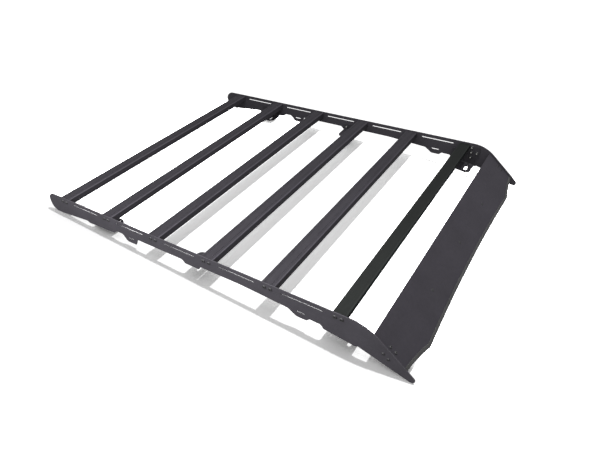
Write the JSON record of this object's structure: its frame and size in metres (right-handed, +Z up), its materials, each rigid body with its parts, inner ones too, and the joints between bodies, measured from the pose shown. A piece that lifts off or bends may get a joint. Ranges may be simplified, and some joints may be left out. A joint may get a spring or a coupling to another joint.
{
  "type": "roof cargo basket",
  "caption": "Flat platform roof rack with slotted side plates, six crossbars, a sloped front wind fairing and bolt-down roof feet.",
  "frame": {"origin": "on the roof, at the centre plane, midway between the slots of the two middle feet", "axes": "+X forward along the vehicle, +Y to its left, +Z up"},
  "size_m": [1.5687, 1.1512, 0.154],
  "materials": {
    "powder": "fine-textured charcoal powder coat on laser-cut aluminium plate",
    "bar": "satin black powder coat on extruded aluminium",
    "fairing": "matt charcoal powder coat on aluminium sheet",
    "foot_steel": "black powder coat on bent steel",
    "rubber": "matt black EPDM rubber",
    "black_screw": "black-oxide steel",
    "zinc": "zinc-plated steel",
    "plug": "matt black nylon"
  },
  "bodies": {
    "root": {"left_side_plate": "powder", "right_side_plate": "powder", "crossbar_1": "bar", "crossbar_2": "bar", "crossbar_3": "bar", "crossbar_4": "bar", "crossbar_5": "bar", "crossbar_6": "bar", "wind_fairing": "fairing", "rear_foot_left": "foot_steel", "rear_foot_right": "foot_steel", "middle_foot_left": "foot_steel", "middle_foot_right": "foot_steel", "front_foot_left": "foot_steel", "front_foot_right": "foot_steel", "fairing_bracket_left": "foot_steel", "fairing_bracket_right": "foot_steel", "rear_foot_pad_left": "rubber", "rear_foot_pad_right": "rubber", "middle_foot_pad_left": "rubber", "middle_foot_pad_right": "rubber", "front_foot_pad_left": "rubber", "front_foot_pad_right": "rubber", "fairing_edge_trim": "rubber", "crossbar_screws_left": "black_screw", "crossbar_screws_right": "black_screw", "fairing_screws_left": "black_screw", "fairing_screws_right": "black_screw", "foot_nuts_left": "black_screw", "foot_nuts_right": "black_screw", "foot_studs_left": "zinc", "foot_studs_right": "zinc", "fairing_nuts_left": "zinc", "fairing_nuts_right": "zinc", "fairing_hole_plugs": "plug"}
  },
  "joints": []
}
